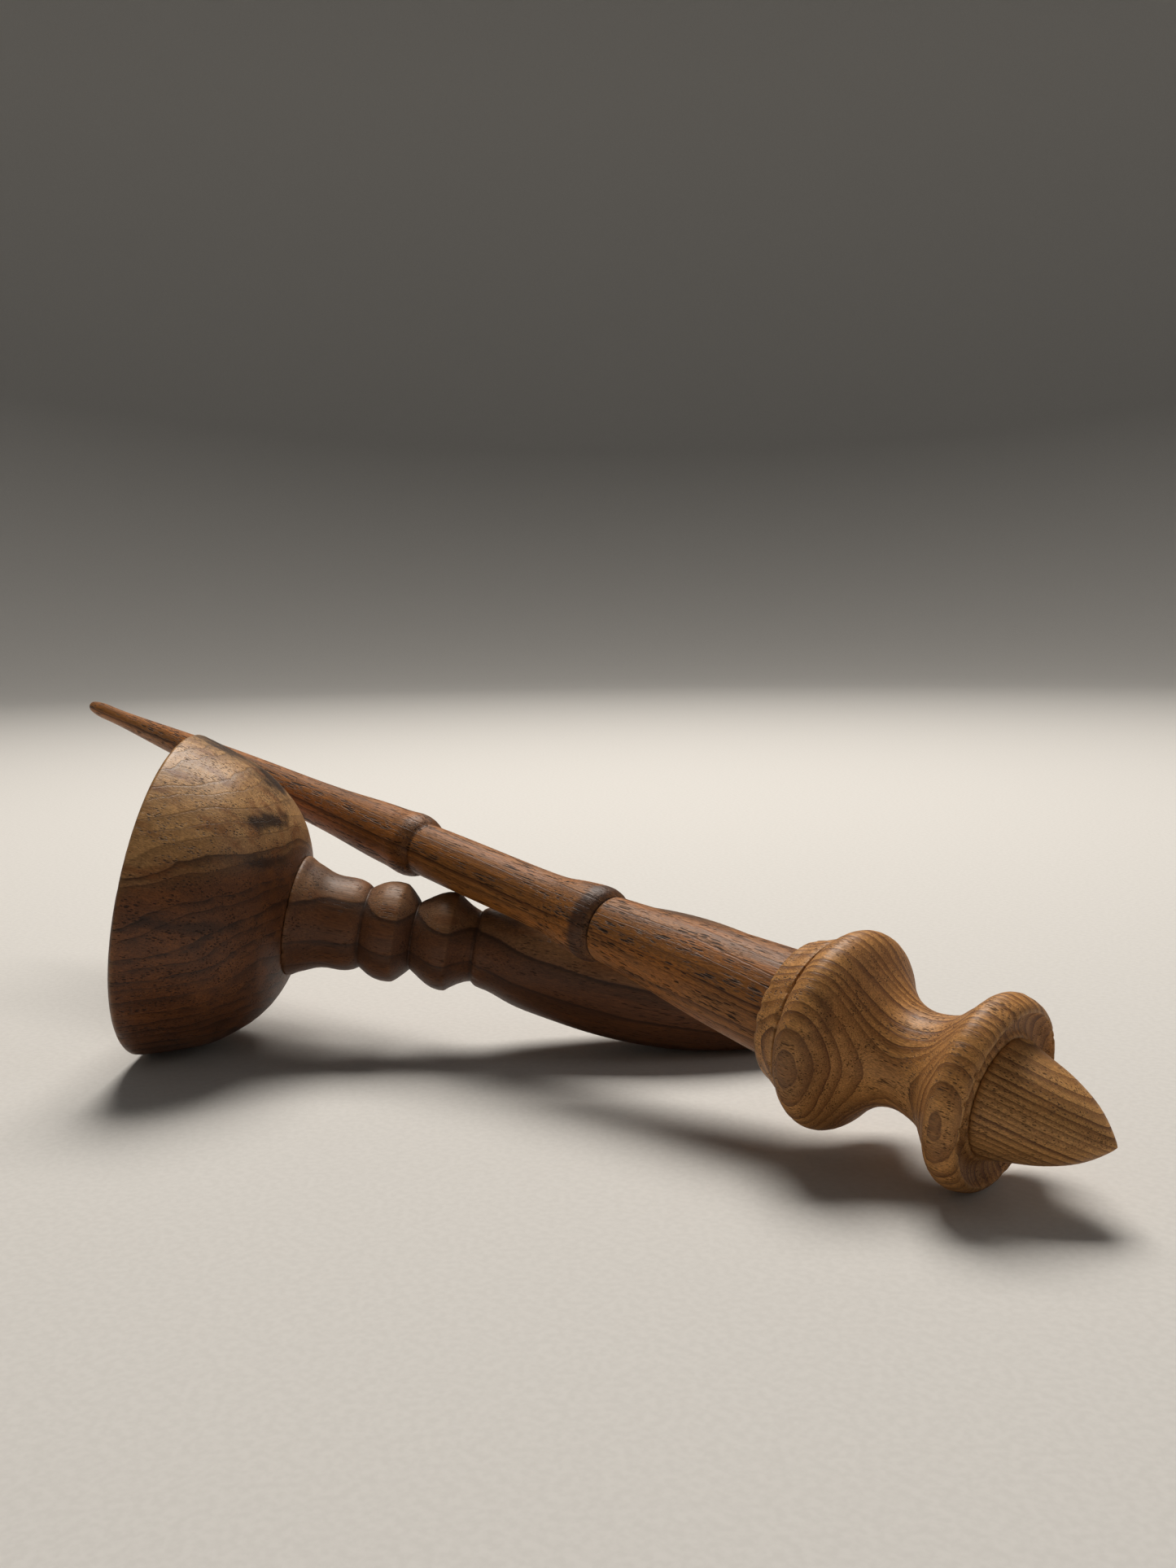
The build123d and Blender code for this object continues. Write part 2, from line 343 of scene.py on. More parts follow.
def turn(name: str, sec: Section, work: HandWork, facets: int, place: Matrix) -> bpy.types.Object:
    """Spin a half section into a closed mesh about the X axis of its own frame.

    Args:
        name: name of the piece.
        sec: the half section in millimetres.
        work: the unevenness of the surface.
        facets: vertices round each ring.
        place: where the piece's own frame goes.

    Returns:
        The new object, with masks for its arrises, crevices and end grain, and its own
        millimetres kept as the grain coordinate.
    """
    angle = np.linspace(0.0, 2.0 * math.pi, facets, endpoint=False)[None, :]
    lift = work.height(sec, angle)
    along = sec.points[:, :1] + sec.normals[:, :1] * lift
    radius = np.maximum(sec.points[:, 1:] + sec.normals[:, 1:] * lift, 0.0)
    grid = np.stack([along, radius * np.sin(angle), radius * np.cos(angle)], axis=2)
    rows = len(sec.points)
    poles = [] if sec.closed else [0, rows - 1]
    start = []
    verts: list[np.ndarray] = []
    ring_of: list[int] = []
    for row in range(rows):
        start.append(len(ring_of))
        ring = grid[row, :1] if row in poles else grid[row]
        verts.append(ring)
        ring_of.extend([row] * len(ring))
    faces = []
    for row in range(rows if sec.closed else rows - 1):
        after = (row + 1) % rows
        a, b = start[row], start[after]
        for i in range(facets):
            j = (i + 1) % facets
            if row in poles:
                faces.append((a, b + i, b + j))
            elif after in poles:
                faces.append((a + j, a + i, b))
            else:
                faces.append((a + i, b + i, b + j, a + j))
    own = np.concatenate(verts)
    spots = own * MM @ np.array(place.to_3x3()).T + np.array(place.translation)
    mesh = bpy.data.meshes.new(name)
    mesh.from_pydata(spots.tolist(), [], faces)
    grain = mesh.attributes.new(GRAIN, "FLOAT_VECTOR", "POINT")
    grain.data.foreach_set("vector", own.astype(np.float32).ravel())
    for mask, values in zip(MASKS, (sec.arris, sec.crevice, np.abs(sec.normals[:, 0]))):
        layer = mesh.attributes.new(mask, "FLOAT", "POINT")
        layer.data.foreach_set("value", values[ring_of].astype(np.float32))
    mesh.polygons.foreach_set("use_smooth", [True] * len(mesh.polygons))
    mesh.update()
    piece = bpy.data.objects.new(name, mesh)
    bpy.context.scene.collection.objects.link(piece)
    return piece


# ---------------------------------------------------------------- shader helpers


class Graph:
    """Short ways to add and join nodes in one shader tree."""

    def __init__(self, tree: bpy.types.NodeTree) -> None:
        """Work on a tree."""
        self.tree = tree

    def node(self, kind: str, *given: object, **settings: object) -> bpy.types.Node:
        """Add a node.

        Args:
            kind: the node's type, without its ShaderNode prefix.
            *given: what its first inputs get.
            **settings: properties of the node.

        Returns:
            The node.
        """
        made = self.tree.nodes.new("ShaderNode" + kind)
        for key, value in settings.items():
            setattr(made, key, value)
        for socket, value in zip(made.inputs, given):
            self.feed(socket, value)
        return made

    def feed(self, socket: Socket, value: object) -> None:
        """Link a socket, or set it when the value is plain.

        Args:
            socket: an input.
            value: an output socket, a number, three numbers or a colour.
        """
        if isinstance(value, bpy.types.NodeSocket):
            self.tree.links.new(value, socket)
        elif isinstance(value, tuple) and socket.type == "RGBA":
            socket.default_value = (*value, 1.0)
        else:
            socket.default_value = value

    def math(self, operation: str, *given: object) -> Socket:
        """One Math node on the given values."""
        return self.node("Math", *given, operation=operation).outputs[0]

    def times(self, first: object, *others: object) -> Socket:
        """The product of some values.

        Args:
            first: first value.
            *others: the values it is multiplied by.

        Returns:
            The product.
        """
        for other in others:
            first = self.math("MULTIPLY", first, other)
        return first

    def scaled(self, value: object, gain: object, base: object) -> Socket:
        """A value times a gain, plus a base."""
        return self.math("MULTIPLY_ADD", value, gain, base)

    def clamp(self, value: object) -> Socket:
        """Keep a value between 0 and 1."""
        return self.node("Clamp", value).outputs[0]

    def rise(self, value: object, low: object, high: object, least: float = 0.0, most: float = 1.0) -> Socket:
        """A smooth step.

        Args:
            value: what is stepped.
            low: where the step starts.
            high: where it ends.
            least: result before the step.
            most: result after it.

        Returns:
            The stepped value.
        """
        made = self.node("MapRange", value, low, high, least, most, interpolation_type="SMOOTHSTEP")
        return made.outputs[0]

    def mix(self, amount: object, first: object, second: object, blend: str = "MIX") -> Socket:
        """Blend two colours.

        Args:
            amount: how much of the second.
            first: first colour.
            second: second colour.
            blend: the blend type.

        Returns:
            The blended colour.
        """
        made = self.node("Mix", amount, data_type="RGBA", blend_type=blend)
        self.feed(made.inputs[6], first)
        self.feed(made.inputs[7], second)
        return made.outputs[2]

    def vector(self, operation: str, *given: object) -> bpy.types.Node:
        """One Vector Math node on the given values."""
        return self.node("VectorMath", *given, operation=operation)

    def stretch(self, point: object, along: object, across: object) -> Socket:
        """Divide a point's X by one length and its Y and Z by another.

        Args:
            point: the point.
            along: length along the grain.
            across: length across it.

        Returns:
            The divided point.
        """
        lengths = self.node("CombineXYZ", along, across, across)
        return self.vector("DIVIDE", point, lengths.outputs[0]).outputs[0]

    def noise(
        self, point: object, size: Grain, detail: float, rough: float = 0.5, output: str = "Fac"
    ) -> Socket:
        """Noise drawn out along the grain.

        Args:
            point: where.
            size: its size along and across the grain.
            detail: octaves.
            rough: strength of the finer octaves.
            output: which output is wanted.

        Returns:
            The noise.
        """
        made = self.node("TexNoise", self.stretch(point, *size), noise_dimensions="3D")
        made.inputs["Scale"].default_value = 1.0
        made.inputs["Detail"].default_value = detail
        made.inputs["Roughness"].default_value = rough
        return made.outputs[output]

    def place(self, group: bpy.types.NodeTree, point: Socket, values: dict[str, object]) -> Outputs:
        """Put a shared group in this tree.

        Args:
            group: the group.
            point: the point in millimetres.
            values: its other inputs.

        Returns:
            The group's outputs.
        """
        made = self.node("Group")
        made.node_tree = group
        for name, value in {"Point": point, **values}.items():
            self.feed(made.inputs[name], value)
        return made.outputs


class Kind(Enum):
    """Kinds of group socket."""

    VALUE = "NodeSocketFloat"
    POINT = "NodeSocketVector"


@dataclass
class Effect:
    """A node group being built: its graph, its inputs by name and the node that takes its outputs."""

    graph: Graph
    given: dict[str, Socket]
    result: bpy.types.Node

    @classmethod
    def start(
        cls, name: str, values: list[str], outputs: list[str], points: tuple[str, ...] = ()
    ) -> "Effect":
        """Make an empty node group.

        Args:
            name: its name.
            values: its plain inputs.
            outputs: its outputs, all plain values.
            points: its inputs that are points, besides the point being shaded.

        Returns:
            The effect.
        """
        tree = bpy.data.node_groups.new(name, "ShaderNodeTree")
        kinds = {label: Kind.POINT for label in ("Point", *points)} | {label: Kind.VALUE for label in values}
        for label, kind in kinds.items():
            tree.interface.new_socket(label, in_out="INPUT", socket_type=kind.value)
        for label in outputs:
            tree.interface.new_socket(label, in_out="OUTPUT", socket_type=Kind.VALUE.value)
        source = tree.nodes.new("NodeGroupInput")
        given = {label: source.outputs[label] for label in kinds}
        return cls(Graph(tree), given, tree.nodes.new("NodeGroupOutput"))

    def finish(self, outputs: dict[str, Socket]) -> bpy.types.NodeTree:
        """Join the outputs.

        Args:
            outputs: what each output gets.

        Returns:
            The group.
        """
        for name, value in outputs.items():
            self.graph.feed(self.result.inputs[name], value)
        return self.graph.tree


def ring_group() -> bpy.types.NodeTree:
    """Growth rings round a pith line that runs beside the piece.

    Returns:
        The group: Late is dense late wood, Line the dark edge of each ring, Tone a value
        per ring and Depth the distance from the pith in millimetres.
    """
    values = ["Pith Y", "Pith Z", "Lean Y", "Lean Z", "Spacing", "Wander", "Uneven"]
    effect = Effect.start("growth_rings", values, ["Late", "Line", "Tone", "Depth"])
    g, given = effect.graph, effect.given
    point, wander, spacing = given["Point"], given["Wander"], given["Spacing"]
    drift_size, shiver_size, shiver_share = (46.0, 17.0), (7.0, 3.2), 0.16
    width_rate = 2.3
    late_from, late_to, line_from, ring_end = 0.2, 0.95, 0.84, 0.955
    part = g.node("SeparateXYZ", point)
    drift = g.node("SeparateColor", g.noise(point, drift_size, 2.0, output="Color"))
    sides = []
    for number, axis in enumerate("YZ"):
        leaning = g.scaled(part.outputs["X"], given["Lean " + axis], given["Pith " + axis])
        swing = g.times(g.math("SUBTRACT", drift.outputs[number], 0.5), wander)
        sides.append(g.math("ADD", g.math("SUBTRACT", part.outputs[axis], leaning), swing))
    depth = g.math("SQRT", g.math("ADD", g.times(sides[0], sides[0]), g.times(sides[1], sides[1])))
    shiver = g.math("SUBTRACT", g.noise(point, shiver_size, 3.0, 0.55), 0.5)
    depth = g.scaled(shiver, g.times(wander, shiver_share), depth)
    widths = g.node("TexNoise", noise_dimensions="1D")
    g.feed(widths.inputs["W"], g.math("DIVIDE", depth, g.times(spacing, width_rate)))
    widths.inputs["Scale"].default_value = 1.0
    uneven = g.math("SUBTRACT", widths.outputs["Fac"], 0.5)
    counted = g.scaled(uneven, given["Uneven"], g.math("DIVIDE", depth, spacing))
    ring = g.math("FLOOR", counted)
    within = g.math("SUBTRACT", counted, ring)
    fall = g.rise(within, ring_end, 1.0, 1.0, 0.0)
    chance = g.node("TexWhiteNoise", noise_dimensions="1D")
    g.feed(chance.inputs["W"], ring)
    return effect.finish({
        "Late": g.times(g.rise(within, late_from, late_to), fall),
        "Line": g.times(g.rise(within, line_from, late_to), fall),
        "Tone": chance.outputs["Value"],
        "Depth": depth,
    })


def pore_group() -> bpy.types.NodeTree:
    """Open pores: short tubes along the grain that show as dashes, or as dots on end grain.

    Returns:
        The group, whose Pore is 1 inside a pore.
    """
    effect = Effect.start("open_pores", ["Along", "Across", "Size", "Crowding"], ["Pore"])
    g, given = effect.graph, effect.given
    patch_size, fewest, more, core = (14.0, 2.2), 0.3, 0.75, 0.55
    cells = g.node("TexVoronoi", voronoi_dimensions="3D", feature="F1")
    g.feed(cells.inputs["Vector"], g.stretch(given["Point"], given["Along"], given["Across"]))
    cells.inputs["Scale"].default_value = 1.0
    patch = g.rise(g.noise(given["Point"], patch_size, 2.0, 0.6), 0.34, 0.6)
    room = g.times(given["Size"], g.scaled(g.times(patch, given["Crowding"]), more, fewest))
    return effect.finish({"Pore": g.rise(cells.outputs["Distance"], g.times(room, core), room, 1.0, 0.0)})


def fibre_group() -> bpy.types.NodeTree:
    """Fibres, their short flecks of light and dark, and broad colour streaks along the grain.

    Returns:
        The group, with Fine, Fleck and Broad noise.
    """
    effect = Effect.start("fibres", ["Along", "Across"], ["Fine", "Fleck", "Broad"])
    g, point = effect.graph, effect.given["Point"]
    along, across = effect.given["Along"], effect.given["Across"]
    fleck_size = (g.times(along, 0.16), g.times(across, 0.55))
    streak_size = (g.times(along, 4.0), g.times(across, 9.0))
    return effect.finish({
        "Fine": g.noise(point, (along, across), 3.0, 0.65),
        "Fleck": g.rise(g.noise(point, fleck_size, 2.0, 0.7), 0.3, 0.7),
        "Broad": g.noise(point, streak_size, 3.0, 0.55),
    })


def wear_and_light_group() -> bpy.types.NodeTree:
    """Lightened arrises, partly worn and partly a painted highlight, painted shade in the creases and the cut
    ends of the grain, broken up by noise.

    Returns:
        The group, with masks for the lightened arrises, the painted crease shade and the cut ends.
    """
    effect = Effect.start("worn_edges_and_painted_light", ["Rub", "Grime"], ["Rubbed Highlight", "Crease Shade", "Ended"])
    g, point = effect.graph, effect.given["Point"]
    patch_size, speck_size, speck_share = (1.6, 1.1), (0.9, 0.35), 0.25
    masks = {name: g.node("Attribute", attribute_name=name).outputs["Fac"] for name in MASKS}
    patchy = g.rise(g.noise(point, patch_size, 3.0, 0.6), 0.3, 0.65)
    # Arrises lightened: partly worn by use, partly a painted highlight.
    rubbed_highlight = g.times(masks["arris"], effect.given["Rub"], g.scaled(patchy, 0.8, 0.25))
    # Painted shade: concave creases darkened.
    crease_shade = g.times(masks["crevice"], effect.given["Grime"], g.scaled(patchy, 0.5, 0.5))
    speck = g.math("SUBTRACT", g.noise(point, speck_size, 2.0, 0.6), 0.5)
    ended = g.scaled(speck, speck_share, masks["end_grain"])
    return effect.finish({
        "Rubbed Highlight": g.clamp(rubbed_highlight),
        "Crease Shade": g.clamp(crease_shade),
        "Ended": g.rise(ended, 0.28, 0.95),
    })


def stain_group() -> bpy.types.NodeTree:
    """One dark stain inside the wood, with a ragged edge drawn out along the grain.

    Returns:
        The group, whose Stain is 1 at its heart.
    """
    effect = Effect.start("heart_stain", [], ["Stain"], ("Centre", "Reach"))
    g, given = effect.graph, effect.given
    ragged_size, raggedness = (11.0, 2.2), 1.6
    away = g.vector("SUBTRACT", given["Point"], given["Centre"]).outputs[0]
    share = g.vector("DIVIDE", away, given["Reach"]).outputs[0]
    ragged = g.math("SUBTRACT", g.noise(given["Point"], ragged_size, 4.0, 0.6), 0.5)
    ragged = g.scaled(ragged, raggedness, g.vector("LENGTH", share).outputs["Value"])
    return effect.finish({"Stain": g.rise(ragged, 0.25, 1.2, 1.0, 0.0)})


def band_group() -> bpy.types.NodeTree:
    """A soft ring round the axis at one distance along it.

    Returns:
        The group, whose Band is 1 in the middle of the ring.
    """
    effect = Effect.start("dark_band", ["At", "Half Width"], ["Band"])
    g, given = effect.graph, effect.given
    ragged_size, raggedness = (5.0, 1.3), 2.2
    along = g.node("SeparateXYZ", given["Point"]).outputs["X"]
    ragged = g.math("SUBTRACT", g.noise(given["Point"], ragged_size, 3.0, 0.6), 0.5)
    away = g.math("ABSOLUTE", g.math("SUBTRACT", along, given["At"]))
    away = g.math("DIVIDE", g.scaled(ragged, raggedness, away), given["Half Width"])
    return effect.finish({"Band": g.rise(away, 0.45, 1.15, 1.0, 0.0)})


@dataclass
class Effects:
    """The shared node groups, built once."""

    rings: bpy.types.NodeTree
    pores: bpy.types.NodeTree
    fibres: bpy.types.NodeTree
    wear_and_light: bpy.types.NodeTree
    stain: bpy.types.NodeTree
    band: bpy.types.NodeTree

    @classmethod
    def build(cls) -> "Effects":
        """Build every group."""
        return cls(ring_group(), pore_group(), fibre_group(), wear_and_light_group(), stain_group(), band_group())


# ---------------------------------------------------------------- finishes


@dataclass(frozen=True)
class Stain:
    """A dark patch inside the wood: its centre and reach in millimetres, and how strong it is."""

    centre: tuple[float, float, float]
    reach: tuple[float, float, float]
    strength: float


@dataclass(frozen=True)
class Band:
    """A dark ring round a piece: where it is and how wide in millimetres, and how strong."""

    at: float
    half_width: float
    strength: float


@dataclass
class Grown:
    """What the shared effects give at the point being shaded."""

    point: Socket
    rings: Outputs
    fibres: Outputs
    wear_and_light: Outputs
    pore: Socket


@dataclass(frozen=True)
class WoodFinish:
    """Oiled wood: its colours, its grain, how it was worn and the highlight and shade painted into its
    colour. Lengths are in millimetres.
    """

    name: str
    early: Colour
    late: Colour
    line: Colour
    streak: Colour
    pore: Colour
    ended: Colour
    # Pale sapwood colour, also used for the lightened arrises and for the painted lit tops of the cup and the
    # handle.
    sap_and_highlight: Colour
    pith: tuple[float, float]
    lean: tuple[float, float]
    spacing: float
    wander: float
    uneven: float
    late_share: float
    line_share: float
    streak_share: float
    fibre_along: float
    fibre_across: float
    pore_along: float
    pore_across: float
    pore_size: float
    pore_share: float
    ended_share: float
    # How much the arrises are lightened, partly worn and partly a painted highlight.
    rub_highlight: float
    roughness: float
    coat: float
    fleck: float
    relief: float = 0.9
    # Depth from the pith where the pale colour starts and where it is full; on the cup and the handle this
    # falls on their tops, partly a painted lit top.
    lit_sap_from: float = 900.0
    lit_sap_to: float = 905.0
    # How strongly the creases are darkened with painted shade.
    crease_shade_strength: float = 0.9
    stains: tuple[Stain, ...] = ()
    bands: tuple[Band, ...] = ()

    def dress(self, piece: bpy.types.Object, effects: Effects) -> None:
        """Make the material and put it on a piece.

        Args:
            piece: the piece, with its own millimetres kept as the grain coordinate.
            effects: the shared node groups.
        """
        material = bpy.data.materials.new(self.name)
        material.use_nodes = True
        material.node_tree.nodes.clear()
        g = Graph(material.node_tree)
        grown = self.grow(g, effects)
        shader = g.node("BsdfPrincipled")
        g.feed(shader.inputs["Base Color"], self.colour(g, effects, grown))
        g.feed(shader.inputs["Roughness"], self.gloss(g, grown))
        g.feed(shader.inputs["Normal"], self.bumps(g, grown))
        for name, value in {**OILED, "Coat Weight": self.coat}.items():
            shader.inputs[name].default_value = value
        g.tree.links.new(shader.outputs[0], g.node("OutputMaterial").inputs["Surface"])
        piece.data.materials.clear()
        piece.data.materials.append(material)

    def grow(self, g: Graph, effects: Effects) -> Grown:
        """Place the shared effects with this wood's values.

        Args:
            g: the material's graph.
            effects: the shared node groups.

        Returns:
            What they give.
        """
        point = g.node("Attribute", attribute_name=GRAIN).outputs["Vector"]
        rings = g.place(effects.rings, point, {
            "Pith Y": self.pith[0], "Pith Z": self.pith[1], "Lean Y": self.lean[0], "Lean Z": self.lean[1],
            "Spacing": self.spacing, "Wander": self.wander, "Uneven": self.uneven,
        })
        fibres = g.place(effects.fibres, point, {"Along": self.fibre_along, "Across": self.fibre_across})
        wear_and_light = g.place(effects.wear_and_light, point, {"Rub": self.rub_highlight, "Grime": self.crease_shade_strength})
        crowding = g.scaled(rings["Late"], -0.55, 1.0)
        pores = []
        for length, width, size in ((1.0, 1.0, 1.0), SMALL_PORES):
            pores.append(g.place(effects.pores, point, {
                "Along": self.pore_along * length, "Across": self.pore_across * width,
                "Size": self.pore_size * size, "Crowding": crowding,
            })["Pore"])
        return Grown(point, rings, fibres, wear_and_light, g.clamp(g.scaled(pores[1], SMALL_PORE_SHARE, pores[0])))

    def gloss(self, g: Graph, grown: Grown) -> Socket:
        """Roughness, higher in pores and on cut ends and lower where the piece is rubbed.

        Args:
            g: the material's graph.
            grown: what the effects give.

        Returns:
            The roughness.
        """
        fibre_change, pore_change, ended_change, rubbed_change = 0.2, 0.22, 0.1, -0.08
        rough = g.scaled(g.math("SUBTRACT", grown.fibres["Fine"], 0.5), fibre_change, self.roughness)
        rough = g.scaled(grown.pore, pore_change, rough)
        rough = g.scaled(grown.wear_and_light["Ended"], ended_change, rough)
        rough = g.scaled(grown.wear_and_light["Rubbed Highlight"], rubbed_change, rough)
        return g.clamp(rough)

    def bumps(self, g: Graph, grown: Grown) -> Socket:
        """Fine relief of pores, fibres and ring edges.

        Args:
            g: the material's graph.
            grown: what the effects give.

        Returns:
            The normal.
        """
        fibre_height, ring_height = 0.5, -0.25
        height = g.scaled(grown.fibres["Fine"], fibre_height, g.times(grown.pore, -1.0))
        height = g.scaled(grown.rings["Line"], ring_height, height)
        bump = g.node("Bump")
        bump.inputs["Strength"].default_value = self.relief
        bump.inputs["Distance"].default_value = PORE_DEPTH
        g.feed(bump.inputs["Height"], height)
        return bump.outputs[0]

    def colour(self, g: Graph, effects: Effects, grown: Grown) -> Socket:
        """Build the wood's colour from its layers.

        Args:
            g: the material's graph.
            effects: the shared node groups.
            grown: what the effects give.

        Returns:
            The colour.
        """
        rings, fibres, wear_and_light, point = grown.rings, grown.fibres, grown.wear_and_light, grown.point
        rubbed_highlight_share, crease_shade_share = 0.5, 0.65
        # Pale sapwood by depth from the pith; on the cup and the handle it sits on their upper side, partly a
        # painted lit top.
        sap_and_lit_top = g.rise(rings["Depth"], self.lit_sap_from, self.lit_sap_to)
        paler = g.scaled(sap_and_lit_top, -0.55, 1.0)
        late_tone = g.times(g.scaled(rings["Tone"], 0.6, 0.55), self.late_share, paler)
        line_tone = g.times(g.scaled(rings["Tone"], 0.7, 0.45), self.line_share)
        body = g.mix(sap_and_lit_top, self.early, self.sap_and_highlight)
        body = g.mix(g.times(rings["Late"], late_tone), body, self.late)
        streaks = g.rise(fibres["Broad"], 0.45, 0.68)
        body = g.mix(g.times(streaks, self.streak_share), body, self.streak)
        body = g.mix(g.times(rings["Line"], line_tone), body, self.line)
        for stain in self.stains:
            patch = g.place(effects.stain, point, {"Centre": stain.centre, "Reach": stain.reach})["Stain"]
            body = g.mix(g.times(patch, stain.strength), body, self.line)
        body = g.mix(g.times(wear_and_light["Ended"], self.ended_share), body, self.ended)
        for band in self.bands:
            ring = g.place(effects.band, point, {"At": band.at, "Half Width": band.half_width})["Band"]
            body = g.mix(g.times(ring, band.strength), body, self.ended)
        flecks = g.scaled(fibres["Fleck"], self.fleck, 1.0 - 0.5 * self.fleck)
        shade = g.times(g.scaled(fibres["Fine"], 1.0, 0.5), flecks)
        body = g.mix(1.0, body, g.node("CombineColor", shade, shade, shade).outputs[0], "MULTIPLY")
        body = g.mix(g.times(grown.pore, self.pore_share), body, self.pore)
        # Arrises lightened towards the pale colour: partly worn by use, partly a painted highlight.
        body = g.mix(g.times(wear_and_light["Rubbed Highlight"], rubbed_highlight_share), body, self.sap_and_highlight)
        # Painted shade: creases darkened towards the pore colour.
        return g.mix(g.times(wear_and_light["Crease Shade"], crease_shade_share), body, self.pore)


WHORL_WOOD = WoodFinish(
    "whorl_wood",
    early=(0.56, 0.268, 0.082), late=(0.175, 0.066, 0.019), line=(0.070, 0.025, 0.009),
    streak=(0.36, 0.152, 0.042), pore=(0.030, 0.011, 0.005), ended=(0.22, 0.094, 0.030),
    sap_and_highlight=(0.60, 0.35, 0.145),
    pith=(58.0, -1.0), lean=(-0.02, -0.25), spacing=1.75, wander=3.0, uneven=1.3,
    late_share=1.0, line_share=0.55,
    streak_share=0.5, fibre_along=8.0, fibre_across=0.28, pore_along=3.0, pore_across=0.34, pore_size=0.38,
    pore_share=0.8, ended_share=0.35, rub_highlight=0.8, roughness=0.48, coat=0.02, fleck=0.7,
    stains=(
        Stain((46.0, 16.0, -4.0), (9.0, 3.0, 11.0), 0.5),
        Stain((19.5, 15.5, -6.0), (3.5, 1.6, 7.0), 0.4),
        Stain((42.5, 13.2, 7.5), (9.0, 1.3, 5.0), 0.6),
    ),
)
NOSE_WOOD = WoodFinish(
    "nose_wood",
    early=(0.52, 0.265, 0.088), late=(0.175, 0.072, 0.024), line=(0.075, 0.029, 0.011),
    streak=(0.33, 0.150, 0.048), pore=(0.030, 0.012, 0.006), ended=(0.21, 0.096, 0.034),
    sap_and_highlight=(0.55, 0.32, 0.135),
    pith=(14.0, -44.0), lean=(0.0, 0.16), spacing=1.1, wander=1.3, uneven=0.8,
    late_share=1.0, line_share=0.5,
    streak_share=0.6, fibre_along=7.0, fibre_across=0.26, pore_along=2.8, pore_across=0.32, pore_size=0.36,
    pore_share=0.75, ended_share=0.1, rub_highlight=0.8, roughness=0.48, coat=0.02, fleck=0.65,
)
SHAFT_WOOD = WoodFinish(
    "shaft_wood",
    early=(0.30, 0.118, 0.028), late=(0.105, 0.036, 0.010), line=(0.038, 0.013, 0.005),
    streak=(0.38, 0.132, 0.022), pore=(0.014, 0.0055, 0.003), ended=(0.040, 0.0150, 0.0095),
    sap_and_highlight=(0.42, 0.215, 0.080),
    pith=(22.0, -34.0), lean=(-0.004, 0.006), spacing=1.9, wander=2.4, uneven=1.6,
    late_share=0.85, line_share=0.45,
    streak_share=0.85, fibre_along=17.0, fibre_across=0.28, pore_along=6.4, pore_across=0.38, pore_size=0.44,
    pore_share=0.95, ended_share=0.45, rub_highlight=0.8, roughness=0.48, coat=0.02, fleck=0.75, relief=1.6,
    bands=(Band(102.5, 2.3, 0.85), Band(154.8, 2.0, 0.4)),
)
CUP_WOOD = WoodFinish(
    "cup_wood",
    early=(0.118, 0.040, 0.0125), late=(0.042, 0.0150, 0.006), line=(0.015, 0.006, 0.0035),
    streak=(0.180, 0.060, 0.015), pore=(0.012, 0.005, 0.003), ended=(0.060, 0.026, 0.013),
    sap_and_highlight=(0.50, 0.275, 0.108),
    # Pith set below the cup, so the pale colour covers its upper side: sapwood, and partly a painted lit top.
    pith=(-12.0, -46.0), lean=(0.0, 0.2), spacing=2.9, wander=7.5, uneven=1.9,
    late_share=0.9, line_share=0.34,
    streak_share=0.7, lit_sap_from=52.0, lit_sap_to=64.0, fibre_along=9.0, fibre_across=0.36, pore_along=2.6,
    pore_across=0.42, pore_size=0.38, pore_share=0.8, ended_share=0.15, rub_highlight=0.4, roughness=0.42, coat=0.08,
    relief=1.0, fleck=0.6,
    stains=(
        Stain((22.0, -11.0, 20.5), (9.0, 9.0, 2.0), 0.93),
        Stain((22.5, -16.0, 13.5), (7.0, 9.0, 1.6), 0.8),
        Stain((9.0, 5.0, 32.0), (17.0, 9.0, 4.0), 0.95),
        Stain((19.0, 3.0, 26.5), (9.0, 9.0, 4.5), 0.93),
        Stain((13.0, -27.0, 1.5), (15.0, 12.0, 1.6), 0.65),
    ),
)
HANDLE_WOOD = WoodFinish(
    "handle_wood",
    early=(0.118, 0.044, 0.0165), late=(0.056, 0.0205, 0.008), line=(0.015, 0.006, 0.0035),
    streak=(0.160, 0.056, 0.017), pore=(0.011, 0.005, 0.003), ended=(0.062, 0.031, 0.021),
    sap_and_highlight=(0.25, 0.122, 0.052),
    # Pith set below the handle, so the pale colour covers its upper faces: sapwood, and partly a painted lit
    # top.
    pith=(6.0, -34.0), lean=(0.0, -0.045), spacing=6.2, wander=3.8, uneven=0.8,
    late_share=0.75, line_share=0.6,
    streak_share=0.7, lit_sap_from=40.0, lit_sap_to=46.0, fibre_along=14.0, fibre_across=0.38, pore_along=3.6,
    pore_across=0.40, pore_size=0.34, pore_share=0.65, ended_share=0.5, rub_highlight=0.6, roughness=0.50, coat=0.03,
    relief=0.8, fleck=0.5,
    stains=(
        Stain((33.0, -3.0, 10.5), (7.0, 7.0, 4.0), 0.5),
        Stain((72.0, -2.0, 9.5), (11.0, 7.0, 4.0), 0.7),
        Stain((94.0, -2.0, 14.0), (24.0, 12.0, 6.0), 0.65),
    ),
)


# ---------------------------------------------------------------- the pieces


@dataclass
class Plan:
    """One piece to turn: its CAD node, half section, hand work, vertices round it and finish."""

    node: str
    sec: Section
    work: HandWork
    facets: int
    finish: WoodFinish


def put(plan: Plan, place: Matrix, body: str, effects: Effects) -> None:
    """Turn one piece, place it, dress it and tell the frame about it.

    Args:
        plan: the piece.
        place: the placement of its own frame.
        body: the CAD body it rides on.
        effects: the shared node groups.
    """
    node = plan.node
    piece = turn(node + "_turned", plan.sec, plan.work, plan.facets, place)
    plan.finish.dress(piece, effects)
    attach(piece, body)
    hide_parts(node)
    log.info("%s: %d faces, riding on %s", piece.name, len(piece.data.polygons), body)


